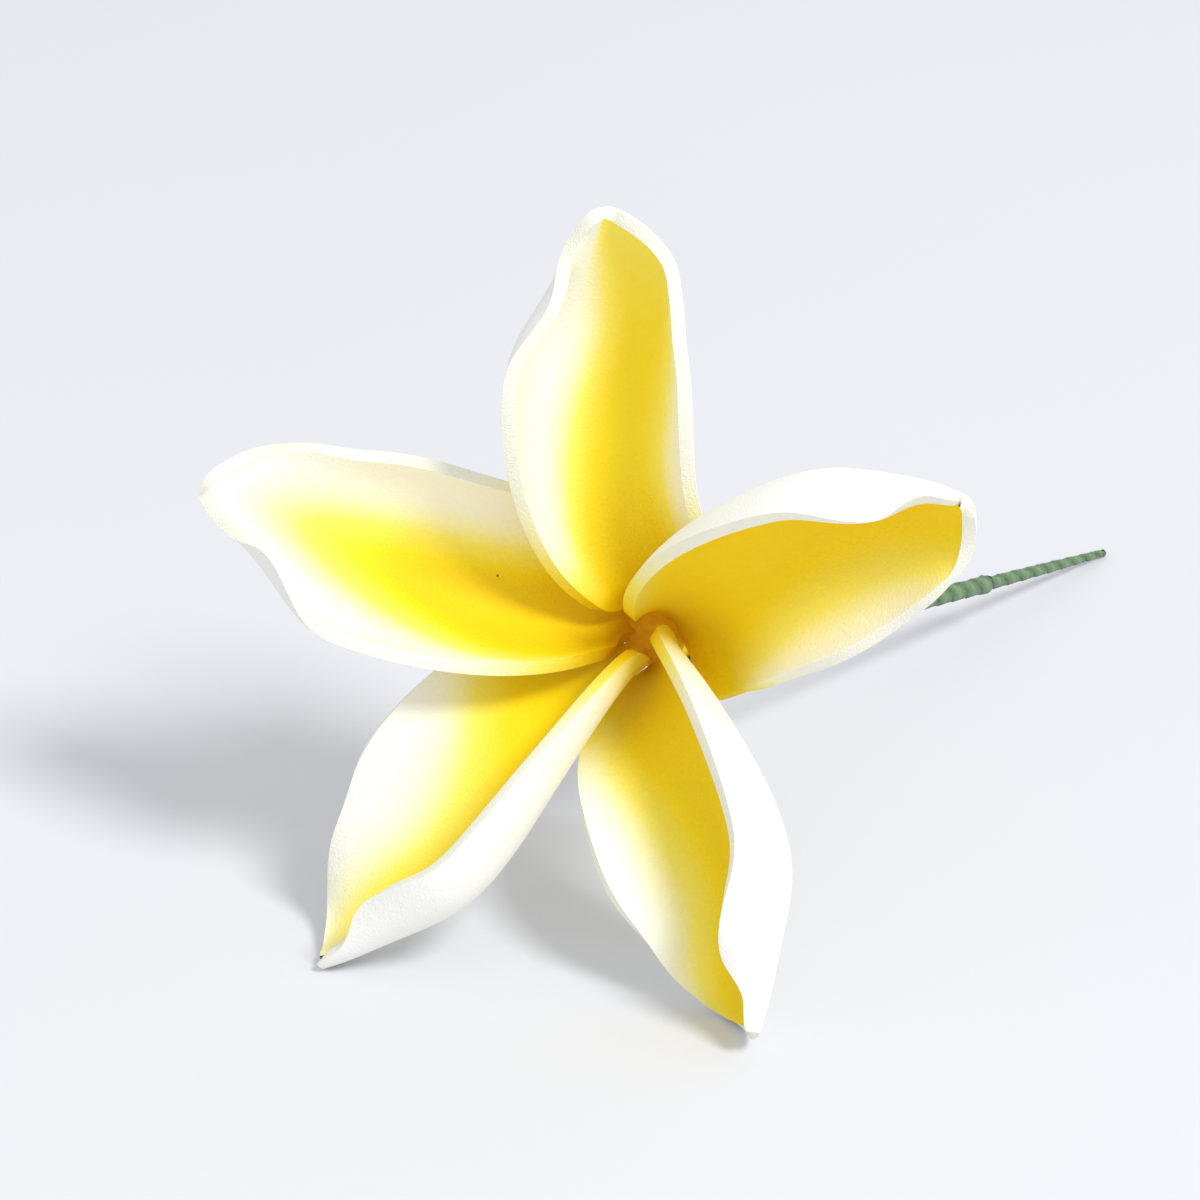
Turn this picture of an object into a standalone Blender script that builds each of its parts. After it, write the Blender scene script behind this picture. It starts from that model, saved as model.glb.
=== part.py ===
"""An artificial plumeria (frangipani) flower on a short wired stem, lying on a table.

Five petals of 1.5 mm foam sheet stand in a pinwheel: each petal's leading edge, the one that
comes first going anticlockwise, laps in front of the next petal's trailing edge. Narrow claws at
the petals' feet stand round the head of the stem wire, held by a wrap of florist's tape, and a
second, longer tape covers the wire down to its cut end. The flower rests on the tips of its two
lower petals and on the end of the stem.
"""

import math

import bmesh
import bpy
from mathutils import Vector

MM = 0.001

# Petal blank, measured along the midrib from the throat, and flat across it.
PETAL_LENGTH = 54 * MM
FOAM = 1.5 * MM
THROAT_RADIUS = 3.0 * MM
CLAW_LENGTH = 10 * MM
CLAW_BEND = 2 * MM
CLAW_HALF_WIDTH = 1.15 * MM
TIP_END = 0.996
PETAL_ROWS = 22
CLAW_ROWS = 4
THROAT_ROWS = 6
FINE_STEPS = 12
PETAL_COLUMNS = 10

# Shape of every petal at stations along its length, as shares of PETAL_LENGTH.
WIDTH_STATIONS = (0, 0.035, 0.06, 0.15, 0.35, 0.55, 0.72, 0.86, 0.95)
LEADING_WIDTHS = (1.1, 2.8, 5.2, 9.5, 14.5, 17.1, 15.5, 8.8, 2.8)
TRAILING_WIDTHS = (1.2, 2.6, 10.4, 11.7, 14.2, 16.0, 14.1, 11.9, 7.8)
LEADING_CURLS = (56, 57, 58, 66, 91, 101, 101, 122, 55)
TRAILING_CURLS = (30, 24, 60, 46, 51, 60, 53, 58, 48)
RISE_STATIONS = (0, 0.2, 0.5, 0.8, 1)
RISES = (56, 43, 16, 30, 27)
SWEEP_STATIONS = (0, 0.5, 1)
SWEEPS = (-25, -8, -53)
ROLL_STATIONS = (0, 0.14, 0.36, 0.68, 1)
ROLLS = (30, 9, -10, -1, 43)
BLEND_IN = 0.12
TIP_START = 0.68

# How each petal was bent by hand, in degrees: it is turned sideways, raised, cupped more towards
# its tip, rolled, curled more along its leading or trailing edge, swung at the tip, and its tip
# then rolled and curled in again.
PETALS = (
    {
        "turn": 4.2, "raise": -6.2, "cup": 1.9, "swing": -3.5,
        "roll": 38, "lead": 20, "trail": 11, "tip_roll": -1, "tip_lead": 10,
    },
    {
        "turn": -4.8, "raise": 8, "cup": 11.6, "swing": -3,
        "roll": 31, "lead": -5.5, "trail": 39, "tip_roll": 13.5, "tip_lead": -40.5,
    },
    {
        "turn": 8.9, "raise": 11.8, "cup": 10, "swing": -6.5,
        "roll": 28, "lead": -28, "trail": 31, "tip_roll": 19, "tip_lead": -17.5,
    },
    {
        "turn": 10.9, "raise": -2.4, "cup": -4.5, "swing": 0.5,
        "roll": 0.5, "lead": 37, "trail": -24, "tip_roll": 17, "tip_lead": -6.5,
    },
    {
        "turn": -0.2, "raise": -12.2, "cup": 3, "swing": -5.5,
        "roll": 3.5, "lead": 36, "trail": -13, "tip_roll": 26, "tip_lead": 12,
    },
)

# Stem, in the flower's own frame, where the flower looks along +Z. Depths are measured back from
# the throat: the stem is straight to STEM_STRAIGHT and then eases over to STEM_END.
STEM_STRAIGHT = 14 * MM
STEM_BEND = 22 * MM
STEM_END = Vector((5.5, 23.3, -105.7)) * MM
WIRE_RADIUS = 0.35 * MM
WIRE_HEAD = 2 * MM
WIRE_STUB = 0.4 * MM
TAPE_GAP = 0.05 * MM
STEM_TAPE_RADIUS = 0.8 * MM
STEM_TAPE_END_RADIUS = 0.45 * MM
SLEEVE_MOUTH = 3.2 * MM
SLEEVE_FLOOR = 11 * MM
SLEEVE_BORE = 4.35 * MM
SLEEVE_WALL = 0.5 * MM
BASE_TAPE_RADIUS = 1.05 * MM
BASE_TAPE_SHARE = 0.72
STEM_SECTIONS = 18
STEM_SIDES = 12

# How the flower lies: where it looks, and its turn about that direction.
LOOK_AZIMUTH = 32.6
LOOK_ELEVATION = 27.75
FLOWER_TURN = 40.2


def smooth_value(position, stations, values):
    """A curve through the values that never overshoots them."""
    steps = [b - a for a, b in zip(stations, stations[1:])]
    slopes = [(b - a) / step for a, b, step in zip(values, values[1:], steps)]
    last = len(steps) - 1
    piece = min(last, max(0, sum(position >= station for station in stations) - 1))
    start_slope = knot_slope(piece, steps, slopes)
    end_slope = knot_slope(piece + 1, steps, slopes)
    step = steps[piece]
    share = (position - stations[piece]) / step
    share = min(1, max(0, share))
    rest = 1 - share
    start = values[piece] * (1 + 2 * share) + start_slope * step * share
    end = values[piece + 1] * (1 + 2 * rest) - end_slope * step * rest
    return start * rest**2 + end * share**2


def knot_slope(knot, steps, slopes):
    """The curve's slope at one of its stations, level where the values turn back."""
    if 0 < knot < len(slopes):
        before, after = slopes[knot - 1], slopes[knot]
        if before * after <= 0:
            return 0
        near, far = 2 * steps[knot] + steps[knot - 1], steps[knot] + 2 * steps[knot - 1]
        return (near + far) / (near / before + far / after)
    if len(slopes) == 1:
        return slopes[0]
    ends = (0, 1) if knot == 0 else (-1, -2)
    first, second = (slopes[i] for i in ends)
    step, following = (steps[i] for i in ends)
    slope = ((2 * step + following) * first - step * second) / (step + following)
    if slope * first <= 0:
        return 0
    return slope if first * second > 0 or abs(slope) <= abs(3 * first) else 3 * first


def smoothstep(share):
    share = min(1, max(0, share))
    return share * share * (3 - 2 * share)


def row_shares():
    """Where a petal's rows lie, as shares of its length: down the claw, at negative shares, then close
    together at the throat, and closing up again towards the tip."""
    claw = [-CLAW_LENGTH / PETAL_LENGTH * (1 - i / CLAW_ROWS) for i in range(CLAW_ROWS)]
    throat = [BLEND_IN * i / THROAT_ROWS for i in range(THROAT_ROWS)]
    open_rows = PETAL_ROWS - CLAW_ROWS - THROAT_ROWS
    left = [(1 - i / open_rows) ** 1.6 for i in range(open_rows + 1)]
    return claw + throat + [TIP_END - (TIP_END - BLEND_IN) * share for share in left]


def midrib(petal):
    """The rows of one petal, in the flower's frame with +X out along the petal: (share of the length,
    middle point, ahead, leading side, facing side)."""
    shares = row_shares()
    points = [Vector((0, 0, 0))]
    for start, end in zip(shares, shares[1:]):
        step = (end - start) / FINE_STEPS
        ways = [axes_at(start + (i + 0.5) * step, petal)[0] for i in range(FINE_STEPS)]
        points.append(points[-1] + sum(ways, Vector((0, 0, 0))) * step * PETAL_LENGTH)
    shift = Vector((THROAT_RADIUS, 0, 0)) - points[CLAW_ROWS]
    return [(share, point + shift, *axes_at(share, petal)) for share, point in zip(shares, points)]


def axes_at(share, petal):
    """The directions ahead, towards the leading edge and out of the face, at a place on the midrib."""
    blend = smoothstep(share / BLEND_IN)
    along = 2 * share - 1
    if share < 0:
        claw = smoothstep(-share * PETAL_LENGTH / CLAW_BEND)
        rise = RISES[0] + (90 - RISES[0]) * claw
    else:
        rise = smooth_value(share, RISE_STATIONS, RISES)
        rise += (petal["raise"] + petal["cup"] * along) * blend
    sweep = smooth_value(share, SWEEP_STATIONS, SWEEPS)
    sweep += (petal["turn"] + petal["swing"] * along) * blend
    rise, sweep = math.radians(rise), math.radians(sweep)
    ahead = Vector((math.cos(rise) * math.cos(sweep), math.cos(rise) * math.sin(sweep), math.sin(rise)))
    leading = Vector((-math.sin(sweep), math.cos(sweep), 0))
    return ahead, leading, ahead.cross(leading)


def half_width(share, widths):
    """The flat half width at a place on the petal; the outline closes round the tip as a parabola does."""
    if share < 0:
        claw = smoothstep(-share * PETAL_LENGTH / CLAW_BEND)
        return widths[0] * MM * (1 - claw) + CLAW_HALF_WIDTH * claw
    opened = [width / math.sqrt(1 - station) for width, station in zip(widths, WIDTH_STATIONS)]
    stations = (*WIDTH_STATIONS, 1)
    return smooth_value(share, stations, (*opened, opened[-1])) * math.sqrt(1 - share) * MM


def curled(across, roll, curl, width):
    """The place of a point on one curled half, as (towards the edge, out of the face)."""
    turned = roll + curl * across
    side = math.sin(turned) - math.sin(roll)
    out = math.cos(roll) - math.cos(turned)
    return width * side / curl, width * out / curl


def petal_point(row, across, petal):
    """A point on the middle of the foam; across runs from -1, trailing edge, to 1, leading edge."""
    share, centre, _, leading, facing = row
    blend = smoothstep(share / BLEND_IN)
    place = max(share, 0)
    tip = smoothstep((share - TIP_START) / (1 - TIP_START))
    roll = smooth_value(place, ROLL_STATIONS, ROLLS) + petal["roll"] * blend + petal["tip_roll"] * tip
    if across < 0:
        roll, leading = -roll, -leading
        curls, widths, extra = TRAILING_CURLS, TRAILING_WIDTHS, petal["trail"] * blend
    else:
        curls, widths = LEADING_CURLS, LEADING_WIDTHS
        extra = petal["lead"] * blend + petal["tip_lead"] * tip
    curl = smooth_value(place, (*WIDTH_STATIONS, 1), (*curls, curls[-1])) + extra
    side, out = curled(abs(across), math.radians(roll), math.radians(curl), half_width(share, widths))
    return centre + leading * side + facing * out


def new_object(name, mesh, parent, material):
    obj = bpy.data.objects.new(name, mesh)
    bpy.context.collection.objects.link(obj)
    mesh.materials.append(material)
    mesh.shade_smooth()
    mesh.set_sharp_from_angle(angle=math.radians(40))
    obj.parent = parent
    return obj


def make_petal(number, petal, parent, material):
    rows = midrib(petal)
    mesh = bpy.data.meshes.new(f"petal_{number}")
    shape = bmesh.new()
    bmesh.ops.create_grid(shape, x_segments=PETAL_ROWS, y_segments=PETAL_COLUMNS, size=1)
    for vert in shape.verts:
        row = round((vert.co.x + 1) / 2 * PETAL_ROWS)
        vert.co = petal_point(rows[row], vert.co.y, petal)
    shape.to_mesh(mesh)
    shape.free()
    obj = new_object(mesh.name, mesh, parent, material)
    obj.rotation_euler.z = math.radians(FLOWER_TURN + 72 * (number - 1))
    solidify = obj.modifiers.new("foam", "SOLIDIFY")
    solidify.thickness = FOAM
    solidify.offset = 0
    solidify.use_even_offset = True
    return obj


def stem_point(share):
    """A point on the bent part of the stem's centre line, from its straight part, 0, to its end, 1."""
    rest = 1 - share
    start, bend = Vector((0, 0, -STEM_STRAIGHT)), Vector((0, 0, -STEM_BEND))
    return start * rest**2 + bend * (2 * rest * share) + STEM_END * share**2


def stem_place(depth):
    """Centre and direction of the stem this far back along it."""
    if depth <= STEM_STRAIGHT:
        return Vector((0, 0, -depth)), Vector((0, 0, -1))
    share = (depth - STEM_STRAIGHT) / (stem_length() - STEM_STRAIGHT)
    ahead = stem_point(share + 0.001) - stem_point(share - 0.001)
    return stem_point(share), ahead.normalized()


def stem_length():
    return STEM_STRAIGHT + (STEM_END - Vector((0, 0, -STEM_STRAIGHT))).length


def tube_rings(shape, sections):
    """Rings of vertices square to the stem at each (depth, radius)."""
    rings = []
    for depth, radius in sections:
        centre, ahead = stem_place(depth)
        side = ahead.cross(Vector((0, 1, 0))).normalized()
        other = ahead.cross(side)
        turns = [math.tau * i / STEM_SIDES for i in range(STEM_SIDES)]
        ways = [side * math.cos(turn) + other * math.sin(turn) for turn in turns]
        rings.append([shape.verts.new(centre + way * radius) for way in ways])
    return rings


def make_turned(name, outside, inside, parent, material):
    """A solid of round sections along the stem. With an inside, a bore runs right through it."""
    mesh = bpy.data.meshes.new(name)
    shape = bmesh.new()
    outer = tube_rings(shape, outside)
    inner = tube_rings(shape, inside)
    loops = outer + inner[::-1]
    for ring, following in zip(loops, loops[1:]):
        bridge(shape, ring, following)
    if inner:
        bridge(shape, loops[-1], loops[0])
    else:
        shape.faces.new(outer[0])
        shape.faces.new(outer[-1])
    bmesh.ops.recalc_face_normals(shape, faces=shape.faces)
    shape.to_mesh(mesh)
    shape.free()
    return new_object(name, mesh, parent, material)


def bridge(shape, ring, following):
    for i, vert in enumerate(ring):
        after = (i + 1) % len(ring)
        shape.faces.new((vert, ring[after], following[after], following[i]))


def make_material(name, colour, roughness, metallic=0.0):
    material = bpy.data.materials.new(name)
    material.use_nodes = True
    surface = material.node_tree.nodes["Principled BSDF"]
    surface.inputs["Base Color"].default_value = (*colour, 1)
    surface.inputs["Roughness"].default_value = roughness
    surface.inputs["Metallic"].default_value = metallic
    material.diffuse_color = (*colour, 1)
    return material


def along_stem(start, end, start_radius, end_radius):
    """Evenly spaced sections between two depths."""
    sections = []
    for i in range(STEM_SECTIONS + 1):
        share = i / STEM_SECTIONS
        depth = start + (end - start) * share
        sections.append((depth, start_radius + (end_radius - start_radius) * share))
    return sections


def make_stem(parent, wire_material, tape_material):
    """The wire, the tape wound along it to the cut end, and the thicker tape that binds the claws
    to the wire's head and runs two thirds of the way down."""
    end = stem_length()
    wire = along_stem(WIRE_HEAD, end, WIRE_RADIUS, WIRE_RADIUS)
    make_turned("stem_wire", wire, [], parent, wire_material)

    base_end = end * BASE_TAPE_SHARE
    tape_end = end - WIRE_STUB
    tape = along_stem(STEM_STRAIGHT, base_end, STEM_TAPE_RADIUS, STEM_TAPE_RADIUS)
    tape += along_stem(base_end, tape_end, STEM_TAPE_RADIUS, STEM_TAPE_END_RADIUS)[1:]
    bore = WIRE_RADIUS + TAPE_GAP
    bored = along_stem(STEM_STRAIGHT, tape_end, bore, bore)
    make_turned("stem_tape", tape, bored, parent, tape_material)

    sleeve = SLEEVE_BORE + SLEEVE_WALL
    neck, shoulder = SLEEVE_FLOOR + 9 * MM, SLEEVE_FLOOR + 3 * MM
    outside = [(SLEEVE_MOUTH, sleeve), (SLEEVE_FLOOR, sleeve * 0.93), (shoulder, sleeve * 0.7)]
    outside += along_stem(neck, base_end, BASE_TAPE_RADIUS * 1.5, BASE_TAPE_RADIUS)
    bore = STEM_TAPE_RADIUS + TAPE_GAP
    inside = [(SLEEVE_MOUTH, SLEEVE_BORE), (SLEEVE_FLOOR, SLEEVE_BORE * 0.93)]
    inside += [(SLEEVE_FLOOR + MM, bore), (STEM_STRAIGHT, bore)]
    inside += along_stem(neck, base_end, bore, bore)
    make_turned("base_tape", outside, inside, parent, tape_material)


def rest_on_table(parent, pieces):
    """Moves the flower so that its lowest point is at height 0, and its middle over the origin."""
    bpy.context.view_layer.update()
    graph = bpy.context.evaluated_depsgraph_get()
    corners = []
    for piece in pieces:
        evaluated = piece.evaluated_get(graph)
        corners += [evaluated.matrix_world @ vert.co for vert in evaluated.data.vertices]
    lowest = Vector([min(corner[axis] for corner in corners) for axis in range(3)])
    highest = Vector([max(corner[axis] for corner in corners) for axis in range(3)])
    middle = (lowest + highest) / 2
    parent.location = (-middle.x, -middle.y, -lowest.z)


def main():
    for obj in list(bpy.data.objects):
        bpy.data.objects.remove(obj)
    foam = make_material("yellow_foam", (0.94, 0.72, 0.06), 0.55)
    tape = make_material("florists_tape", (0.17, 0.30, 0.15), 0.8)
    wire = make_material("stem_wire", (0.10, 0.12, 0.11), 0.45, 0.9)
    flower = bpy.data.objects.new("flower", None)
    bpy.context.collection.objects.link(flower)
    flower.rotation_euler = (math.radians(90 - LOOK_ELEVATION), 0, math.radians(-LOOK_AZIMUTH))
    for number, petal in enumerate(PETALS, 1):
        make_petal(number, petal, flower, foam)
    make_stem(flower, wire, tape)
    rest_on_table(flower, flower.children)


main()
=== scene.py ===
"""The looks of an artificial plumeria: five airbrushed foam petals on a taped wire stem, lying on a
pale table under soft studio light. Every piece is modelled in the flower's own frame, where the
flower looks along +Z and petal 1 points out along +X, and is then laid down where the frame's
nodes lie."""

import math

import bmesh
import bpy
from mathutils import Matrix, Vector


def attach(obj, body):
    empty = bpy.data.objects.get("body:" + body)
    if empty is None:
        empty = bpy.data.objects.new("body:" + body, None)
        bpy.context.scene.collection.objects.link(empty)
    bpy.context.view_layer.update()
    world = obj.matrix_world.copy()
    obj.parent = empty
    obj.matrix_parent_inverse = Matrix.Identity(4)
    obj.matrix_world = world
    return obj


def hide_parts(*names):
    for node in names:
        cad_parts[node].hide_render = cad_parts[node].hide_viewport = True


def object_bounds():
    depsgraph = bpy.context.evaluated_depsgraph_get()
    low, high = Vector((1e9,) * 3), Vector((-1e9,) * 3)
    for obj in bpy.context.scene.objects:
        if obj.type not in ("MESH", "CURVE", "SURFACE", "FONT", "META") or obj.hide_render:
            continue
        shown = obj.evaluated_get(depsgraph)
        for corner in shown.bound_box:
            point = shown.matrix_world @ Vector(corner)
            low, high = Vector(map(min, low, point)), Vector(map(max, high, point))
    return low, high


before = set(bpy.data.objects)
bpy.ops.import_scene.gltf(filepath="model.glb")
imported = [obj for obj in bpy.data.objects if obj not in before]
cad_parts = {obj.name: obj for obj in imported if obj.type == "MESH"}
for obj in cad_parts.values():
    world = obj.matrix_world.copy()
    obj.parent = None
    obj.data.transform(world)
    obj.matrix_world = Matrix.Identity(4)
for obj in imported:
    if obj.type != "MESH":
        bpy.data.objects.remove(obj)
CAD_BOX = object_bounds()

MM = 0.001

# Petal blank, measured along the midrib from the throat, and flat across it.
PETAL_LENGTH = 54 * MM
FOAM = 1.5 * MM
THROAT_RADIUS = 3.0 * MM
CLAW_LENGTH = 10 * MM
CLAW_BEND = 2 * MM
CLAW_HALF_WIDTH = 1.15 * MM
TIP_END = 0.996
CLAW_ROWS = 4
THROAT_ROWS = 6
OPEN_ROWS = 17
PETAL_ROWS = CLAW_ROWS + THROAT_ROWS + OPEN_ROWS
HALF_COLUMNS = 7
RIM_ROUNDING = 0.28 * MM
RIM_ANGLE = 50

# Shape of every petal at stations along its length, as shares of PETAL_LENGTH.
WIDTH_STATIONS = (0, 0.035, 0.06, 0.15, 0.35, 0.55, 0.72, 0.86, 0.95)
LEADING_WIDTHS = (1.1, 2.8, 5.2, 9.5, 14.5, 17.1, 15.5, 8.8, 2.8)
TRAILING_WIDTHS = (1.2, 2.6, 10.4, 11.7, 14.2, 16.0, 14.1, 11.9, 7.8)
LEADING_CURLS = (56, 57, 58, 66, 91, 101, 101, 122, 55)
TRAILING_CURLS = (30, 24, 60, 46, 51, 60, 53, 58, 48)
RISE_STATIONS = (0, 0.2, 0.5, 0.8, 1)
RISES = (56, 43, 16, 30, 27)
SWEEP_STATIONS = (0, 0.5, 1)
SWEEPS = (-25, -8, -53)
ROLL_STATIONS = (0, 0.14, 0.36, 0.68, 1)
ROLLS = (30, 9, -10, -1, 43)
BLEND_IN = 0.12
TIP_START = 0.68

# How each petal was bent by hand, in degrees: it is turned sideways, raised, cupped more towards
# its tip, rolled, curled more along its leading or trailing edge, swung at the tip, and its tip
# then rolled and curled in again.
PETALS = (
    {
        "turn": 4.2, "raise": -6.2, "cup": 1.9, "swing": -3.5,
        "roll": 38, "lead": 20, "trail": 11, "tip_roll": -1, "tip_lead": 10,
    },
    {
        "turn": -4.8, "raise": 8, "cup": 11.6, "swing": -3,
        "roll": 31, "lead": -5.5, "trail": 39, "tip_roll": 13.5, "tip_lead": -40.5,
    },
    {
        "turn": 8.9, "raise": 11.8, "cup": 10, "swing": -6.5,
        "roll": 28, "lead": -28, "trail": 31, "tip_roll": 19, "tip_lead": -17.5,
    },
    {
        "turn": 10.9, "raise": -2.4, "cup": -4.5, "swing": 0.5,
        "roll": 0.5, "lead": 37, "trail": -24, "tip_roll": 17, "tip_lead": -6.5,
    },
    {
        "turn": -0.2, "raise": -12.2, "cup": 3, "swing": -5.5,
        "roll": 3.5, "lead": 36, "trail": -13, "tip_roll": 26, "tip_lead": 12,
    },
)

# The yellow stripe sprayed on each petal's face: where its leading and trailing sides run, as
# (along the petal, across it), how soft they are, how thick the paint lies between them, and where
# along the petal it fades to white. The third petal's thicker coat is partly painted shade.
SPRAY = (
    {
        "lead": ((0, 1), (1, 1)),
        "trail": ((0, -1.4), (0.25, -0.92), (0.6, -0.65), (1, -1.2)),
        "soft": 0.6,
        "coat": 0.69,
        "fade": (1.0, 1.4),
    },
    {
        "lead": ((0, 1.2), (0.25, 0.65), (0.5, 0.3), (0.75, 0.02), (1, 0.25)),
        "trail": ((0, -0.8), (0.3, -0.5), (0.5, -0.55), (0.75, -0.9), (1, -1.3)),
        "soft": 0.32,
        "coat": 0.64,
        "fade": (0.6, 1.6),
    },
    # Partly painted shade: this petal's stripe is thickened over its own deeper paint, to darken its base
    # where the petal above shades it.
    {
        "lead": ((0, 1.4), (0.25, 1.0), (0.5, 0.42), (0.7, 0.15), (1, 0)),
        "trail": ((0, -0.6), (0.5, -0.4), (0.75, -0.5), (1, -0.6)),
        "soft": 0.4,
        "coat": 0.76,
        "fade": (0.5, 1.1),
    },
    {
        "lead": ((0, 1.1), (0.4, 0.6), (1, 0.5)),
        "trail": ((0, -1.2), (0.25, -0.9), (0.5, -0.35), (0.75, -0.45), (1, -1.0)),
        "soft": 0.5,
        "coat": 0.66,
        "fade": (0.7, 1.2),
    },
    {
        "lead": ((0, 1.1), (0.4, 0.4), (1, 0.3)),
        "trail": ((0, -1.0), (0.25, -0.75), (0.5, -0.55), (0.75, -0.7), (1, -1.3)),
        "soft": 0.45,
        "coat": 0.72,
        "fade": (0.9, 1.5),
    },
)

# A thinner coat floods all of the petal near the throat, and a last one deepens it at the throat
# itself: where along the petal each starts and is full, and how thick it is. Droplets roughen the
# stripe's soft sides.
FLOOD_ALONG = (0.34, 0.06)
FLOOD_COAT = 0.7
THROAT_ALONG = (0.12, -0.02)
THROAT_COAT = 0.22
DROPLETS = 0.16

# The colour of the sprayed foam, from bare to the thickest coat, as (thickness, colour).
PAINT_STOPS = (
    (0.0, (247, 247, 245)),
    (0.2, (252, 247, 200)),
    (0.42, (253, 236, 100)),
    (0.66, (252, 220, 10)),
    (0.84, (242, 196, 0)),
    (1.0, (228, 154, 0)),
)
SPECK_COLOUR = (150, 118, 50)

# Stem, in the flower's own frame. Depths are measured back from the throat: the stem is straight
# to STEM_STRAIGHT and then eases over to STEM_END.
STEM_STRAIGHT = 14 * MM
STEM_BEND = 22 * MM
STEM_END = Vector((5.5, 23.3, -105.7)) * MM
WIRE_RADIUS = 0.35 * MM
WIRE_HEAD = 2 * MM
WIRE_STUB = 0.4 * MM
STEM_TAPE_RADIUS = 0.8 * MM
STEM_TAPE_END_RADIUS = 0.45 * MM
BASE_TAPE_RADIUS = 1.05 * MM
BASE_TAPE_SHARE = 0.72
SLEEVE_MOUTH = 3.2 * MM
SLEEVE_FLOOR = 11 * MM
SLEEVE_RADIUS = 4.85 * MM
WIRE_SIDES = 16
WIRE_CUTS = 52

# The tape's spiral. One subdivision makes at most a hundred cuts, which leaves the rings of a tape
# 0.75 to 0.94 mm apart, and its faces twisted between them.
TAPE_SIDES = 36
TAPE_CUTS = 100
TAPE_PITCH = 3.5 * MM
TAPE_LEDGE = 0.14 * MM
TAPE_WIDTH = 12 * MM

# The dab of glue in the throat, and how far its middle lies in front of it.
GLUE_RADIUS = 4.1 * MM
GLUE_DEPTH = 1.5 * MM
GLUE_RISE = 0.2 * MM

# How the flower lies: where it looks, and its turn about that direction.
LOOK_AZIMUTH = 32.6
LOOK_ELEVATION = 27.75
FLOWER_TURN = 40.2

# The camera looks along +Y and down, at a point this far from the throat, just in front of it.
CAMERA_AIM = Vector((-6.5, -15.6, 11.3)) * MM
CAMERA_ELEVATION = 25
CAMERA_DISTANCE = 520 * MM
CAMERA_LENS = 141

# The key light stands this far to the side and to the front for every unit up. The rest of the
# light comes evenly from the room.
KEY_SIDE = 0.6
KEY_FRONT = 0.66
KEY_DISTANCE = 2.4
KEY_SIZE = 0.7
KEY_POWER = 36
ROOM_LIGHT = 0.78
ROOM_COLOUR = (0.96, 0.975, 1.0)


# ---------------------------------------------------------------- shape rules


def smooth_value(position, stations, values):
    """A curve through the values that never overshoots them."""
    steps = [b - a for a, b in zip(stations, stations[1:])]
    slopes = [(b - a) / step for a, b, step in zip(values, values[1:], steps)]
    last = len(steps) - 1
    piece = min(last, max(0, sum(position >= station for station in stations) - 1))
    start_slope = knot_slope(piece, steps, slopes)
    end_slope = knot_slope(piece + 1, steps, slopes)
    step = steps[piece]
    share = (position - stations[piece]) / step
    share = min(1, max(0, share))
    rest = 1 - share
    start = values[piece] * (1 + 2 * share) + start_slope * step * share
    end = values[piece + 1] * (1 + 2 * rest) - end_slope * step * rest
    return start * rest**2 + end * share**2


def knot_slope(knot, steps, slopes):
    """The curve's slope at one of its stations, level where the values turn back."""
    if 0 < knot < len(slopes):
        before, after = slopes[knot - 1], slopes[knot]
        if before * after <= 0:
            return 0
        near, far = 2 * steps[knot] + steps[knot - 1], steps[knot] + 2 * steps[knot - 1]
        return (near + far) / (near / before + far / after)
    if len(slopes) == 1:
        return slopes[0]
    ends = (0, 1) if knot == 0 else (-1, -2)
    first, second = (slopes[i] for i in ends)
    step, following = (steps[i] for i in ends)
    slope = ((2 * step + following) * first - step * second) / (step + following)
    if slope * first <= 0:
        return 0
    return slope if first * second > 0 or abs(slope) <= abs(3 * first) else 3 * first


def smoothstep(share):
    share = min(1, max(0, share))
    return share * share * (3 - 2 * share)


def row_shares():
    """Where a petal's rows lie, as shares of its length: down the claw, at negative shares, then close
    together at the throat, and closing up again towards the tip."""
    claw = [-CLAW_LENGTH / PETAL_LENGTH * (1 - i / CLAW_ROWS) for i in range(CLAW_ROWS)]
    throat = [BLEND_IN * i / THROAT_ROWS for i in range(THROAT_ROWS)]
    left = [(1 - i / OPEN_ROWS) ** 1.6 for i in range(OPEN_ROWS + 1)]
    return claw + throat + [TIP_END - (TIP_END - BLEND_IN) * share for share in left]


def half_width(share, widths):
    """The flat half width at a place on the petal; the outline closes round the tip as a parabola does."""
    if share < 0:
        claw = smoothstep(-share * PETAL_LENGTH / CLAW_BEND)
        return widths[0] * MM * (1 - claw) + CLAW_HALF_WIDTH * claw
    opened = [width / math.sqrt(1 - station) for width, station in zip(widths, WIDTH_STATIONS)]
    stations = (*WIDTH_STATIONS, 1)
    return smooth_value(share, stations, (*opened, opened[-1])) * math.sqrt(1 - share) * MM


def rise_and_sweep(share, petal):
    """How far the midrib points out of the flower's face, and how far it has swung sideways."""
    blend = smoothstep(share / BLEND_IN)
    along = 2 * share - 1
    if share < 0:
        claw = smoothstep(-share * PETAL_LENGTH / CLAW_BEND)
        rise = RISES[0] + (90 - RISES[0]) * claw
    else:
        rise = smooth_value(share, RISE_STATIONS, RISES)
        rise += (petal["raise"] + petal["cup"] * along) * blend
    sweep = smooth_value(share, SWEEP_STATIONS, SWEEPS)
    sweep += (petal["turn"] + petal["swing"] * along) * blend
    return math.radians(rise), math.radians(sweep)


def roll_and_curls(share, petal):
    """How far a row is rolled about the midrib, and how far each half curls in from it."""
    blend = smoothstep(share / BLEND_IN)
    place = max(share, 0)
    stations = (*WIDTH_STATIONS, 1)
    tip = smoothstep((share - TIP_START) / (1 - TIP_START))
    roll = smooth_value(place, ROLL_STATIONS, ROLLS) + petal["roll"] * blend + petal["tip_roll"] * tip
    lead = smooth_value(place, stations, (*LEADING_CURLS, LEADING_CURLS[-1]))
    lead += petal["lead"] * blend + petal["tip_lead"] * tip
    trail = smooth_value(place, stations, (*TRAILING_CURLS, TRAILING_CURLS[-1])) + petal["trail"] * blend
    return math.radians(roll), math.radians(lead), math.radians(trail)


# ---------------------------------------------------------------- modelling tools


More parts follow.
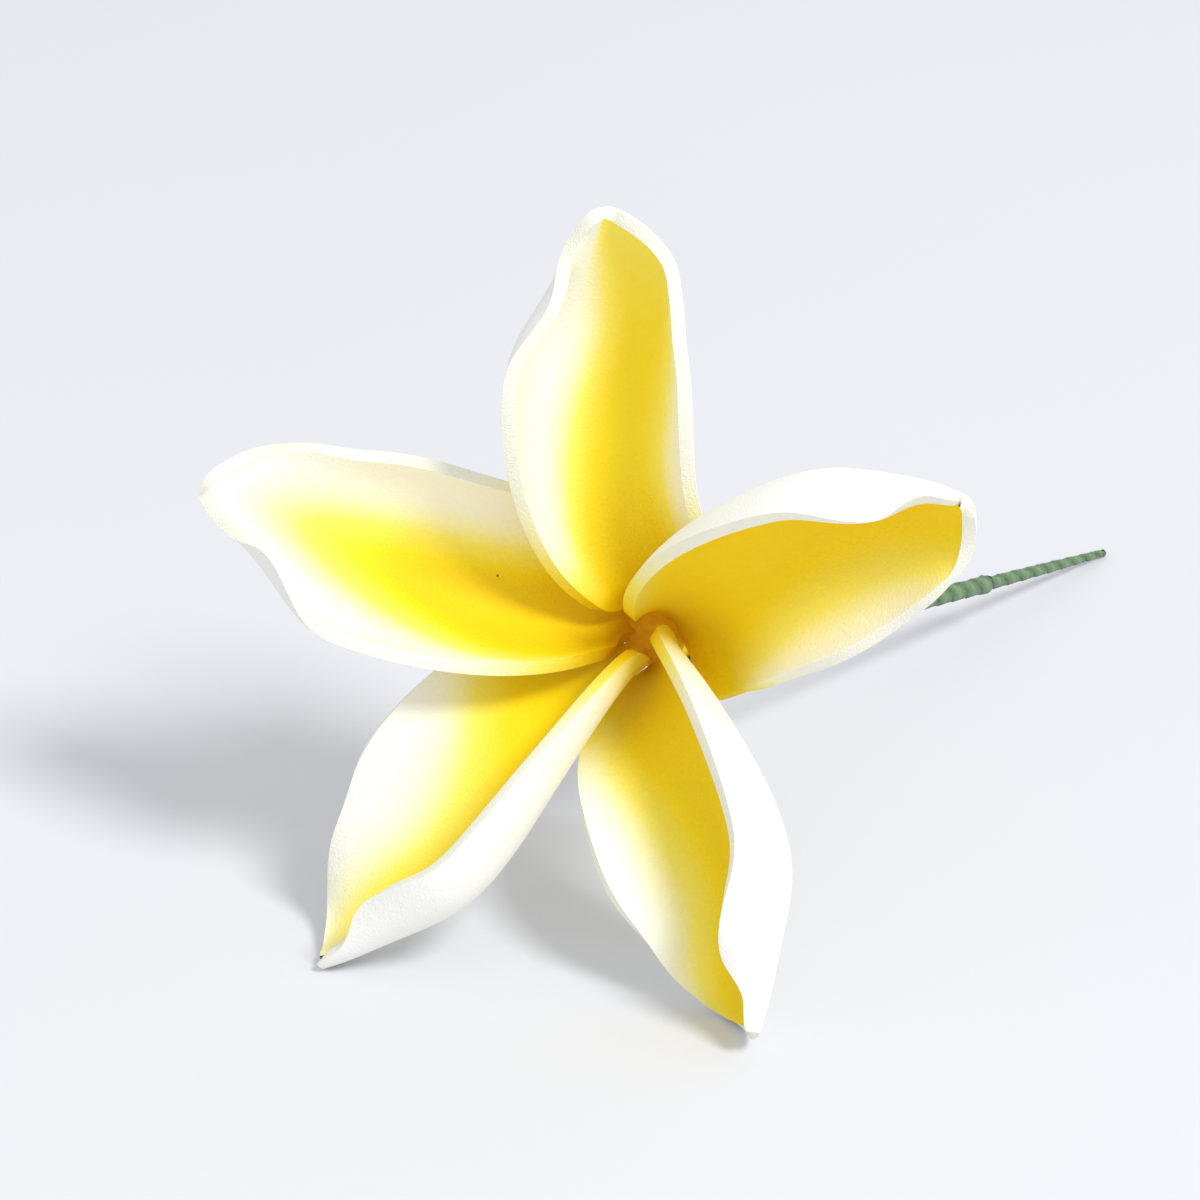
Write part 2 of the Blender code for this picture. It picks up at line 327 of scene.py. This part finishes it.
def add_piece(name, add, **settings):
    """Adds a primitive with nothing else selected, and puts its place in its mesh."""
    bpy.ops.object.select_all(action="DESELECT")
    add(**settings)
    bpy.ops.object.transform_apply()
    piece = bpy.context.object
    piece.name = piece.data.name = name
    return piece


def copy_piece(piece, name):
    """A copy with a mesh of its own."""
    copied = piece.copy()
    copied.data = piece.data.copy()
    copied.name = copied.data.name = name
    bpy.context.collection.objects.link(copied)
    return copied


def edit(piece):
    """Opens a piece in edit mode, in vertex selection, and returns its mesh."""
    bpy.ops.object.select_all(action="DESELECT")
    bpy.context.view_layer.objects.active = piece
    piece.select_set(True)
    bpy.ops.object.mode_set(mode="EDIT")
    bpy.ops.mesh.select_mode(type="VERT")
    return bmesh.from_edit_mesh(piece.data)


def done():
    bpy.ops.object.mode_set(mode="OBJECT")


def pick(shape, wanted):
    """Selects just these vertices."""
    bpy.ops.mesh.select_all(action="DESELECT")
    for vert in wanted:
        vert.select = True
    shape.select_flush_mode()


def turn(axis, angle, place):
    """Turns what is selected by the right hand about a main axis through a place."""
    bpy.ops.transform.rotate(value=-angle, orient_axis=axis, orient_type="GLOBAL", center_override=place)


def finish_piece(piece, *modifiers):
    """Applies modifiers, each given as (type, settings)."""
    bpy.ops.object.select_all(action="DESELECT")
    bpy.context.view_layer.objects.active = piece
    piece.select_set(True)
    for kind, settings in modifiers:
        modifier = piece.modifiers.new(kind.lower(), kind)
        for name, value in settings.items():
            setattr(modifier, name, value)
        bpy.ops.object.modifier_apply(modifier=modifier.name)
    bpy.ops.object.shade_smooth()


def lay_down(piece, turned=0):
    """Takes a piece from the flower's own frame to where the flower lies, with its place in its mesh."""
    lying = Matrix.Rotation(math.radians(-LOOK_AZIMUTH), 4, "Z")
    lying @= Matrix.Rotation(math.radians(90 - LOOK_ELEVATION), 4, "X")
    piece.data.transform(lying @ Matrix.Rotation(math.radians(turned), 4, "Z"))


# ---------------------------------------------------------------- petals


def petal_blank():
    """The flat foam blank: a grid whose rows are set out along the petal and drawn to its width."""
    shares = row_shares()
    blank = add_piece(
        "petal_blank",
        bpy.ops.mesh.primitive_grid_add,
        x_subdivisions=PETAL_ROWS,
        y_subdivisions=2 * HALF_COLUMNS,
        size=2,
    )
    shape = edit(blank)
    rows = rows_of(shape)
    for share, row in zip(shares, rows):
        pick(shape, row)
        bpy.ops.transform.translate(value=(share * PETAL_LENGTH - row[0].co.x, 0, 0))
        leading, trailing = row[HALF_COLUMNS + 1 :], row[:HALF_COLUMNS]
        for half, widths in ((leading, LEADING_WIDTHS), (trailing, TRAILING_WIDTHS)):
            pick(shape, half)
            width = half_width(share, widths)
            bpy.ops.transform.resize(value=(1, width, 1), center_override=row[HALF_COLUMNS].co)
    spray_guide = shape.loops.layers.uv.verify()
    for share, row in zip(shares, rows):
        for column, vert in enumerate(row):
            for loop in vert.link_loops:
                loop[spray_guide].uv = (share, column / HALF_COLUMNS - 1)
    done()
    return blank


def rows_of(shape):
    """The grid's vertices as rows across the petal, from the claw's foot to the tip, each row from the
    trailing edge to the leading edge."""
    shape.verts.ensure_lookup_table()
    count = PETAL_ROWS + 1
    columns = [shape.verts[i * count : (i + 1) * count] for i in range(2 * HALF_COLUMNS + 1)]
    return [[column[row] for column in columns] for row in range(count)]


def curl_row(shape, row, roll, lead, trail):
    """Rolls a row about the midrib and curls each half in an arc, one column after another."""
    middle = HALF_COLUMNS
    for way, curl in ((1, lead), (-1, trail)):
        bend = way * curl / HALF_COLUMNS
        half = [row[middle + way * i] for i in range(HALF_COLUMNS + 1)]
        for column in range(HALF_COLUMNS):
            pick(shape, half[column + 1 :])
            turn("X", roll + bend / 2 if column == 0 else bend, half[column].co)


def bend_rows(shape, rows, place, before, after):
    """Turns rows about a place, from one rise and sweep to another."""
    pick(shape, [vert for row in rows for vert in row])
    turn("Z", -before[1], place)
    turn("Y", before[0] - after[0], place)
    turn("Z", after[1], place)


def bend_petal(piece, petal):
    """Curls a flat petal row by row, and then bends it along its midrib."""
    shares = row_shares()
    shape = edit(piece)
    rows = rows_of(shape)
    for share, row in zip(shares, rows):
        curl_row(shape, row, *roll_and_curls(share, petal))
    ahead = (0, 0)
    for i, row in enumerate(rows):
        place = row[HALF_COLUMNS].co.copy()
        here = rise_and_sweep(shares[i], petal)
        bend_rows(shape, rows[i:], place, ahead, here)
        if row is not rows[-1]:
            ahead = rise_and_sweep((shares[i] + shares[i + 1]) / 2, petal)
            bend_rows(shape, rows[i + 1 :], place, here, ahead)
    throat = rows[CLAW_ROWS][HALF_COLUMNS].co
    bpy.ops.mesh.select_all(action="SELECT")
    bpy.ops.transform.translate(value=Vector((THROAT_RADIUS, 0, 0)) - throat)
    done()


def make_petal(number, blank):
    """One petal of foam sheet: its face, the cut edge all round, and its back."""
    name = f"petal_{number}"
    piece = copy_piece(blank, f"foam_{name}")
    bend_petal(piece, PETALS[number - 1])
    piece.data.materials.append(petal_face_material(name, SPRAY[number - 1]))
    piece.data.materials.append(bpy.data.materials["petal_back"])
    piece.data.materials.append(bpy.data.materials["petal_cut_edge"])
    finish_piece(
        piece,
        ("SUBSURF", {"levels": 2, "render_levels": 2, "boundary_smooth": "ALL"}),
        (
            "SOLIDIFY",
            {
                "thickness": FOAM,
                "offset": 0,
                "use_even_offset": True,
                "material_offset": 1,
                "material_offset_rim": 2,
            },
        ),
        (
            "BEVEL",
            {
                "width": RIM_ROUNDING,
                "segments": 3,
                "limit_method": "ANGLE",
                "angle_limit": math.radians(RIM_ANGLE),
            },
        ),
    )
    lay_down(piece, FLOWER_TURN + 360 / len(PETALS) * (number - 1))
    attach(piece, "root")
    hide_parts(name)
    return piece


# ---------------------------------------------------------------- stem


def stem_path():
    """The stem's centre line as one curve: straight back from the throat, then an even bend."""
    bend, end = Vector((0, 0, -STEM_BEND)), STEM_END
    straight_end = Vector((0, 0, -STEM_STRAIGHT))
    bpy.ops.object.select_all(action="DESELECT")
    bpy.ops.curve.primitive_bezier_curve_add()
    path = bpy.context.object
    path.name = "stem_path"
    path.data.resolution_u = 64
    path.data.twist_mode = "MINIMUM"
    points = path.data.splines[0].bezier_points
    points.add(1)
    third = straight_end / 3
    knots = (
        (-third, Vector((0, 0, 0)), third),
        (straight_end - third, straight_end, straight_end + (bend - straight_end) * 2 / 3),
        (end + (bend - end) * 2 / 3, end, end + (end - bend) / 3),
    )
    for point, (before, knot, after) in zip(points, knots):
        point.handle_left_type = point.handle_right_type = "FREE"
        point.handle_left, point.co, point.handle_right = before, knot, after
    return path


def tube(name, profile, sides, cuts, fine_to=0):
    """An open tube that runs up +Z, with its depth from the throat as its height, cut into rings and
    drawn in to the profile's radii. Down to the depth fine_to each gap between rings is cut again.
    Returns it and its rings of vertices, opened in edit mode."""
    depths, radii = zip(*profile)
    length = depths[-1] - depths[0]
    piece = add_piece(
        name,
        bpy.ops.mesh.primitive_cylinder_add,
        vertices=sides,
        radius=1,
        depth=length,
        end_fill_type="NOTHING",
        location=(0, 0, depths[0] + length / 2),
    )
    shape = edit(piece)
    bpy.ops.mesh.select_all(action="DESELECT")
    for edge in shape.edges:
        bottom, top = edge.verts
        edge.select = abs(top.co.z - bottom.co.z) > length / 2
    bpy.ops.mesh.subdivide(number_cuts=cuts)
    shape = bmesh.from_edit_mesh(piece.data)
    if fine_to:
        bpy.ops.mesh.select_all(action="DESELECT")
        for edge in shape.edges:
            low, high = sorted(vert.co.z for vert in edge.verts)
            edge.select = high - low > length / cuts / 2 and low < fine_to
        bpy.ops.mesh.subdivide()
        shape = bmesh.from_edit_mesh(piece.data)

    def place(vert):
        side = round(math.atan2(vert.co.y, vert.co.x) / math.tau * sides) % sides
        return round(vert.co.z / MM, 2), side

    ordered = sorted(shape.verts, key=place)
    rings = [ordered[i : i + sides] for i in range(0, len(ordered), sides)]
    for ring in rings:
        radius = smooth_value(ring[0].co.z, depths, radii)
        pick(shape, ring)
        bpy.ops.transform.resize(value=(radius, radius, 1), center_override=(0, 0, ring[0].co.z))
    return piece, shape, rings


def wind_tape(name, profile, ledge, fine_to=0):
    """Tape wound in a spiral: its section is a roll that grows to one ledge, the tape's upper edge, and
    the section turns once with every pitch."""
    piece, shape, rings = tube(name, profile, TAPE_SIDES, TAPE_CUTS, fine_to)
    turns = shape.loops.layers.uv.verify()
    for ring in rings:
        for side, vert in enumerate(ring):
            for loop in vert.link_loops:
                last = side == 0 and any(other.vert is ring[-1] for other in loop.face.loops)
                loop[turns].uv = (1 if last else side / TAPE_SIDES, vert.co.z / TAPE_WIDTH)
    for side in range(TAPE_SIDES):
        pick(shape, [ring[side] for ring in rings])
        around = math.tau * side / TAPE_SIDES
        way = Vector((math.cos(around), math.sin(around), 0))
        bpy.ops.transform.translate(value=way * ledge * side / TAPE_SIDES)
    pick(shape, [ring[-1] for ring in rings])
    turn("Z", math.tau / TAPE_SIDES * 0.85, (0, 0, 0))
    for ring in rings:
        pick(shape, ring)
        turn("Z", math.tau * ring[0].co.z / TAPE_PITCH, (0, 0, ring[0].co.z))
    done()
    return piece


def finish_on_stem(piece, path, wall, material, node):
    """Gives a tube its wall and bends it along the stem."""
    piece.data.materials.append(material)
    modifiers = [("SOLIDIFY", {"thickness": wall, "offset": -1})] if wall else []
    finish_piece(piece, *modifiers, ("CURVE", {"object": path, "deform_axis": "POS_Z"}))
    lay_down(piece)
    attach(piece, "root")
    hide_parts(node)
    return piece


def make_stem():
    """The wire, the tape wound down it, and the longer wrap that binds the claws to its head."""
    path = stem_path()
    end = path.data.splines[0].calc_length()
    base_end = end * BASE_TAPE_SHARE
    swell = 2 * MM
    wrap = (
        (SLEEVE_MOUTH, SLEEVE_RADIUS * 0.87),
        (SLEEVE_MOUTH + 1.2 * MM, SLEEVE_RADIUS * 0.95),
        (SLEEVE_MOUTH + 3 * MM, SLEEVE_RADIUS),
        (SLEEVE_FLOOR, SLEEVE_RADIUS * 0.92),
        (SLEEVE_FLOOR + 3 * MM, SLEEVE_RADIUS * 0.68),
        (SLEEVE_FLOOR + 9 * MM, BASE_TAPE_RADIUS * 1.5),
        (base_end - swell, BASE_TAPE_RADIUS),
        (base_end - swell / 2, BASE_TAPE_RADIUS * 1.12),
        (base_end, BASE_TAPE_RADIUS * 0.9),
    )
    base_tape = wind_tape("base_wrap", wrap, TAPE_LEDGE, SLEEVE_FLOOR + 8 * MM)
    base_tape = finish_on_stem(base_tape, path, 0.25 * MM, tape_material(), "base_tape")

    winding = (
        (STEM_STRAIGHT, STEM_TAPE_RADIUS),
        (base_end, STEM_TAPE_RADIUS),
        (end - WIRE_STUB, STEM_TAPE_END_RADIUS),
    )
    stem_tape = wind_tape("stem_winding", winding, TAPE_LEDGE * 0.8)
    stem_tape = finish_on_stem(
        stem_tape, path, 0.08 * MM, bpy.data.materials["florists_tape"], "stem_tape"
    )

    wire = snipped_wire(end)
    wire = finish_on_stem(wire, path, 0, wire_material(), "stem_wire")
    bpy.data.objects.remove(path)
    return [base_tape, stem_tape, wire]


def glue_dab():
    """The dab of glue that holds the petals' feet together and closes the throat."""
    dab = add_piece(
        "throat_glue",
        bpy.ops.mesh.primitive_uv_sphere_add,
        segments=32,
        ring_count=16,
        radius=GLUE_RADIUS,
        location=(0, 0, GLUE_RISE),
    )
    shape = edit(dab)
    pick(shape, shape.verts)
    bpy.ops.transform.resize(value=(1, 1, GLUE_DEPTH / GLUE_RADIUS), center_override=(0, 0, GLUE_RISE))
    pick(shape, [vert for vert in shape.verts if vert.co.z > GLUE_RISE + GLUE_DEPTH * 0.8])
    bpy.ops.transform.translate(value=(0, 0, -GLUE_DEPTH * 0.5))
    done()
    dab.data.materials.append(glue_material())
    finish_piece(dab)
    lay_down(dab)
    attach(dab, "root")
    return dab


def snipped_wire(end):
    """The wire, closed at its head and snipped to a blunt wedge at its end."""
    profile = ((WIRE_HEAD, WIRE_RADIUS), (end, WIRE_RADIUS))
    piece, shape, rings = tube("wire", profile, WIRE_SIDES, WIRE_CUTS)
    for ring, flattened in ((rings[0], 1), (rings[-1], 0.45)):
        pick(shape, ring)
        bpy.ops.transform.resize(value=(1, flattened, 1), center_override=(0, 0, ring[0].co.z))
        bpy.ops.mesh.edge_face_add()
    bpy.ops.mesh.select_all(action="SELECT")
    bpy.ops.mesh.normals_make_consistent(inside=False)
    done()
    return piece


# ---------------------------------------------------------------- materials


def paint(red, green, blue):
    """A colour given as it looks, on a scale of 255, as the shader's light values."""
    shares = [value / 255 for value in (red, green, blue)]
    linear = [s / 12.92 if s < 0.04045 else ((s + 0.055) / 1.055) ** 2.4 for s in shares]
    return (*linear, 1)


def new_material(name, roughness, **constants):
    """A material, with constants for its Principled shader. Returns it, the shader and the node tree."""
    material = bpy.data.materials.new(name)
    material.use_nodes = True
    shader = material.node_tree.nodes["Principled BSDF"]
    shader.inputs["Roughness"].default_value = roughness
    for socket, value in constants.items():
        shader.inputs[socket.replace("_", " ")].default_value = value
    return material, shader, material.node_tree


def node(tree, kind, settings=None, **inputs):
    """Adds a node. An input is a value or another node's socket; _0, _1 and so on are its position."""
    added = tree.nodes.new(f"ShaderNode{kind}")
    for name, value in (settings or {}).items():
        setattr(added, name, value)
    for name, value in inputs.items():
        socket = added.inputs[int(name[1:])] if name[1:].isdigit() else added.inputs[name.replace("_", " ")]
        if isinstance(value, bpy.types.NodeSocket):
            tree.links.new(value, socket)
        else:
            socket.default_value = value
    return added


def maths(tree, operation, *values):
    inputs = {f"_{i}": value for i, value in enumerate(values)}
    return node(tree, "Math", {"operation": operation}, **inputs).outputs[0]


def ramp(tree, value, *stops):
    """A colour ramp through (place, colour) stops."""
    added = node(tree, "ValToRGB", Fac=value)
    elements = added.color_ramp.elements
    while len(elements) < len(stops):
        elements.new(0.5)
    for element, (place, colour) in zip(elements, stops):
        element.position = place
        element.color = colour
    return added.outputs["Color"]


def soft_step(tree, value, start, end):
    """Rises smoothly from 0 to 1 as the value goes from start to end."""
    mapped = node(tree, "MapRange", {"interpolation_type": "SMOOTHSTEP"}, Value=value)
    for name, bound in (("From Min", start), ("From Max", end)):
        if isinstance(bound, bpy.types.NodeSocket):
            tree.links.new(bound, mapped.inputs[name])
        else:
            mapped.inputs[name].default_value = bound
    return mapped.outputs["Result"]


def new_group(name, inputs, outputs):
    """A node group with named inputs and outputs. Returns it, what it is given and what it gives out."""
    tree = bpy.data.node_groups.new(name, "ShaderNodeTree")
    for socket in inputs:
        tree.interface.new_socket(socket, in_out="INPUT", socket_type="NodeSocketFloat")
    for socket in outputs:
        tree.interface.new_socket(socket, in_out="OUTPUT", socket_type="NodeSocketFloat")
    return tree, tree.nodes.new("NodeGroupInput").outputs, tree.nodes.new("NodeGroupOutput").inputs


def use_group(tree, name, **inputs):
    return node(tree, "Group", {"node_tree": bpy.data.node_groups[name]}, **inputs).outputs


def foam_grain_group():
    """The foam's skin: fine closed cells as height, a wider mottling, and a few dark specks."""
    tree, given, out = new_group(
        "foam_grain",
        ("Cell Size", "Specks"),
        ("Height", "Grain", "Mottle", "Speck"),
    )
    place = node(tree, "TexCoord").outputs["Object"]
    fineness = maths(tree, "DIVIDE", 1, given["Cell Size"])
    cells = node(tree, "TexVoronoi", {"feature": "SMOOTH_F1"}, Vector=place, Scale=fineness, Smoothness=0.6)
    grain = node(tree, "TexNoise", Vector=place, Scale=fineness, Detail=3.0, Roughness=0.65)
    hollows = maths(tree, "MULTIPLY", cells.outputs["Distance"], 0.6)
    height = maths(tree, "ADD", hollows, grain.outputs["Fac"])
    tree.links.new(height, out["Height"])
    tree.links.new(grain.outputs["Fac"], out["Grain"])
    mottle = node(tree, "TexNoise", Vector=place, Scale=220, Detail=4.0, Roughness=0.6)
    tree.links.new(mottle.outputs["Fac"], out["Mottle"])
    specks = node(tree, "TexVoronoi", Vector=place, Scale=130)
    near = soft_step(tree, specks.outputs["Distance"], 0.028, 0.012)
    chosen = node(tree, "SeparateXYZ", Vector=specks.outputs["Color"]).outputs["X"]
    picked = maths(tree, "LESS_THAN", chosen, given["Specks"])
    tree.links.new(maths(tree, "MULTIPLY", near, picked), out["Speck"])


def spray_group():
    """How thick the sprayed paint lies: a soft stripe along the petal between two edges, fading out
    towards the tip, over a heavier coat in the throat."""
    place = ("Along", "Across", "Leading Side", "Trailing Side")
    paint_jet = ("Softness", "Coat", "Fade Start", "Fade End", "Grain")
    tree, given, out = new_group("spray", place + paint_jet, ("Thickness",))
    droplets = maths(tree, "MULTIPLY", maths(tree, "SUBTRACT", given["Grain"], 0.5), DROPLETS)
    across = maths(tree, "ADD", given["Across"], droplets)
    past_lead = maths(tree, "SUBTRACT", across, given["Leading Side"])
    past_trail = maths(tree, "SUBTRACT", given["Trailing Side"], across)
    inner = maths(tree, "MULTIPLY", given["Softness"], -1)
    inside_lead = soft_step(tree, past_lead, given["Softness"], inner)
    inside_trail = soft_step(tree, past_trail, given["Softness"], inner)
    stripe = maths(tree, "MULTIPLY", inside_lead, inside_trail)
    faded = soft_step(tree, given["Along"], given["Fade End"], given["Fade Start"])
    stripe = maths(tree, "MULTIPLY", stripe, faded)
    stripe = maths(tree, "MULTIPLY", stripe, given["Coat"])
    flood = maths(tree, "MULTIPLY", soft_step(tree, given["Along"], *FLOOD_ALONG), FLOOD_COAT)
    throat = maths(tree, "MULTIPLY", soft_step(tree, given["Along"], *THROAT_ALONG), THROAT_COAT)
    coat = maths(tree, "SMOOTH_MAX", stripe, flood, 0.2)
    thickness = maths(tree, "ADD", coat, throat)
    tree.links.new(thickness, out["Thickness"])


def painted_foam(tree, thickness):
    """The foam's colour under paint of this thickness."""
    return ramp(tree, thickness, *((place, paint(*colour)) for place, colour in PAINT_STOPS))


def along_and_across(tree):
    """The place on a petal: along from the throat, and across towards the leading edge."""
    guide = node(tree, "UVMap", {"uv_map": "UVMap"}).outputs["UV"]
    parts = node(tree, "SeparateXYZ", Vector=guide).outputs
    return parts["X"], parts["Y"]


def side_curve(tree, along, stations):
    """Where a soft side of the stripe runs: across, from 1.5 at the leading side to -1.5, against along."""
    curve = node(tree, "FloatCurve", Value=along)
    mapping = curve.mapping
    line = mapping.curves[0]
    while len(line.points) < len(stations):
        line.points.new(0.5, 0.5)
    for point, (place, side) in zip(line.points, stations):
        point.location = (place, side / 3 + 0.5)
    mapping.update()
    return maths(tree, "MULTIPLY", maths(tree, "SUBTRACT", curve.outputs["Value"], 0.5), 3)


def foam_bump(tree, shader, height, strength):
    bump = node(tree, "Bump", Strength=strength, Distance=0.12 * MM, Height=height)
    tree.links.new(bump.outputs["Normal"], shader.inputs["Normal"])


def petal_face_material(name, spray):
    """A petal's face: white foam with its own soft stripe of yellow, deepening into the throat."""
    material, shader, tree = new_material(f"{name}_face", 0.55, Specular_IOR_Level=0.25)
    along, across = along_and_across(tree)
    grain = use_group(tree, "foam_grain", Cell_Size=0.32 * MM, Specks=0.05)
    lead = side_curve(tree, along, spray["lead"])
    trail = side_curve(tree, along, spray["trail"])
    thickness = use_group(
        tree,
        "spray",
        Along=along,
        Across=across,
        Leading_Side=lead,
        Trailing_Side=trail,
        Softness=spray["soft"],
        Coat=spray["coat"],
        Fade_Start=spray["fade"][0],
        Fade_End=spray["fade"][1],
        Grain=grain["Grain"],
    )["Thickness"]
    specked = node(tree, "Mix", {"data_type": "RGBA"}, Factor=grain["Speck"])
    tree.links.new(painted_foam(tree, thickness), specked.inputs[6])
    specked.inputs[7].default_value = paint(*SPECK_COLOUR)
    tree.links.new(specked.outputs[2], shader.inputs["Base Color"])
    roughness = node(tree, "MapRange", Value=grain["Mottle"], To_Min=0.48, To_Max=0.66)
    tree.links.new(roughness.outputs["Result"], shader.inputs["Roughness"])
    foam_bump(tree, shader, grain["Height"], 0.6)
    return material


def petal_back_material():
    """The unpainted back: white foam, frosted with fine grain, with a little overspray at its foot."""
    material, shader, tree = new_material("petal_back", 0.6, Specular_IOR_Level=0.3)
    along, _ = along_and_across(tree)
    grain = use_group(tree, "foam_grain", Cell_Size=0.3 * MM, Specks=0.03)
    overspray = maths(tree, "MULTIPLY", soft_step(tree, along, 0.32, 0.0), 0.62)
    mist = maths(tree, "ADD", overspray, maths(tree, "MULTIPLY", grain["Mottle"], 0.05))
    tree.links.new(painted_foam(tree, mist), shader.inputs["Base Color"])
    foam_bump(tree, shader, grain["Height"], 0.5)
    return material


def cut_edge_material():
    """The cut edge: open cells, cream from the overspray, and yellower towards the throat."""
    material, shader, tree = new_material("petal_cut_edge", 0.75, Specular_IOR_Level=0.3)
    along, _ = along_and_across(tree)
    grain = use_group(tree, "foam_grain", Cell_Size=0.22 * MM, Specks=0.0)
    overspray = maths(tree, "MULTIPLY", soft_step(tree, along, 0.44, 0.04), 0.72)
    flecked = maths(tree, "MULTIPLY", grain["Grain"], 0.16)
    mist = maths(tree, "ADD", overspray, flecked)
    tree.links.new(painted_foam(tree, mist), shader.inputs["Base Color"])
    foam_bump(tree, shader, grain["Height"], 0.9)
    return material


def glue_material():
    """Glue under a thick coat of paint: smooth, lumpy and golden."""
    material, shader, tree = new_material("painted_glue", 0.6, Specular_IOR_Level=0.2)
    place = node(tree, "TexCoord").outputs["Object"]
    lumps = node(tree, "TexNoise", Vector=place, Scale=900, Detail=2.0)
    colour = ramp(tree, lumps.outputs["Fac"], (0.3, paint(240, 172, 0)), (0.7, paint(248, 192, 4)))
    tree.links.new(colour, shader.inputs["Base Color"])
    bump = node(tree, "Bump", Strength=0.4, Distance=0.2 * MM, Height=lumps.outputs["Fac"])
    tree.links.new(bump.outputs["Normal"], shader.inputs["Normal"])
    return material


def tape_material():
    """Florist's tape: waxed crepe paper with creases across its width, in greens from its shaded to its lit
    side; painted shade darkens the crease hollows and a band at each lap, where the tape's edge steps over
    the turn below.
    """
    material, shader, tree = new_material("florists_tape", 0.6, Sheen_Weight=0.2, Sheen_Roughness=0.5)
    guide = node(tree, "UVMap", {"uv_map": "UVMap"}).outputs["UV"]
    lap = node(tree, "SeparateXYZ", Vector=guide).outputs["X"]
    stretched = node(tree, "Mapping", Vector=guide, Scale=(1, 12, 1))
    across = stretched.outputs["Vector"]
    creases = node(tree, "TexNoise", Vector=across, Scale=9.0, Detail=5.0, Roughness=0.7)
    place = node(tree, "TexCoord").outputs["Object"]
    fibres = node(tree, "TexNoise", Vector=place, Scale=3000, Detail=3.0)
    worn = node(tree, "TexNoise", Vector=place, Scale=260, Detail=3.0)
    # Painted shade: the crease hollows are coloured darker.
    crease_shade = maths(tree, "MULTIPLY", creases.outputs["Fac"], 0.5)
    faded = maths(tree, "MULTIPLY", worn.outputs["Fac"], 0.2)
    # Painted shade: a band darkest at the lap, where the tape's edge steps over the turn below.
    lap_shade = maths(tree, "MULTIPLY", maths(tree, "PINGPONG", lap, 0.5), 0.55)
    shade = maths(tree, "ADD", maths(tree, "ADD", crease_shade, faded), lap_shade)
    # The greens run from the stem's shaded side to its lit side: painted shade and painted light.
    colour = ramp(
        tree,
        shade,
        (0.25, paint(66, 100, 66)),
        (0.5, paint(106, 140, 98)),
        (0.75, paint(150, 178, 132)),
    )
    tree.links.new(colour, shader.inputs["Base Color"])
    height = maths(tree, "ADD", creases.outputs["Fac"], maths(tree, "MULTIPLY", fibres.outputs["Fac"], 0.4))
    bump = node(tree, "Bump", Strength=0.6, Distance=0.1 * MM, Height=height)
    tree.links.new(bump.outputs["Normal"], shader.inputs["Normal"])
    return material


def wire_material():
    """Dull galvanised steel, finely scratched."""
    material, shader, tree = new_material("stem_wire", 0.4, Metallic=1.0)
    place = node(tree, "TexCoord").outputs["Object"]
    scratches = node(tree, "TexNoise", Vector=place, Scale=4000, Detail=2.0)
    colour = ramp(tree, scratches.outputs["Fac"], (0.3, paint(70, 74, 74)), (0.7, paint(126, 130, 128)))
    tree.links.new(colour, shader.inputs["Base Color"])
    roughness = node(tree, "MapRange", Value=scratches.outputs["Fac"], To_Min=0.3, To_Max=0.55)
    tree.links.new(roughness.outputs["Result"], shader.inputs["Roughness"])
    return material


def table_material():
    """A matt pale table top."""
    material, shader, tree = new_material("table_top", 0.85)
    place = node(tree, "TexCoord").outputs["Object"]
    cloud = node(tree, "TexNoise", Vector=place, Scale=3.0)
    colour = ramp(tree, cloud.outputs["Fac"], (0.3, paint(219, 220, 224)), (0.7, paint(222, 223, 227)))
    tree.links.new(colour, shader.inputs["Base Color"])
    return material


# ---------------------------------------------------------------- stage, light and camera


def make_stage():
    table = add_piece("table", bpy.ops.mesh.primitive_plane_add, size=6)
    table.data.materials.append(table_material())

    key = bpy.data.objects.new("key_light", bpy.data.lights.new("key_light", "AREA"))
    key.data.shape = "DISK"
    key.data.size = KEY_SIZE
    key.data.energy = KEY_POWER
    way = Vector((KEY_SIDE, -KEY_FRONT, 1)).normalized()
    key.location = way * KEY_DISTANCE
    key.rotation_euler = way.to_track_quat("Z", "Y").to_euler()
    bpy.context.collection.objects.link(key)

    world = bpy.data.worlds.new("pale_room")
    world.use_nodes = True
    background = world.node_tree.nodes["Background"]
    background.inputs["Color"].default_value = (*ROOM_COLOUR, 1)
    background.inputs["Strength"].default_value = ROOM_LIGHT
    bpy.context.scene.world = world


def make_camera(throat):
    camera = bpy.data.objects.new("camera", bpy.data.cameras.new("camera"))
    down = math.radians(CAMERA_ELEVATION)
    camera.location = throat + CAMERA_AIM + Vector((0, -math.cos(down), math.sin(down))) * CAMERA_DISTANCE
    camera.rotation_euler = (math.pi / 2 - down, 0, 0)
    camera.data.lens = CAMERA_LENS
    bpy.context.collection.objects.link(camera)
    bpy.context.scene.camera = camera
    bpy.context.scene.view_settings.view_transform = "Standard"


def rest_on_table(pieces):
    """Moves the flower as one to where the frame's nodes lie, as low and over the same middle, and
    returns where its throat then is."""
    corners = [vert.co for piece in pieces for vert in piece.data.vertices]
    lowest = Vector([min(corner[axis] for corner in corners) for axis in range(3)])
    highest = Vector([max(corner[axis] for corner in corners) for axis in range(3)])
    frame_low, frame_high = Vector(CAD_BOX[0]), Vector(CAD_BOX[1])
    move = (frame_low + frame_high - lowest - highest) / 2
    move.z = frame_low.z - lowest.z
    for piece in pieces:
        piece.data.transform(Matrix.Translation(move))
    return move


def main():
    foam_grain_group()
    spray_group()
    petal_back_material()
    cut_edge_material()
    blank = petal_blank()
    petals = [make_petal(number, blank) for number in range(1, len(PETALS) + 1)]
    bpy.data.objects.remove(blank)
    throat = rest_on_table(petals + make_stem() + [glue_dab()])
    make_stage()
    make_camera(throat)


main()
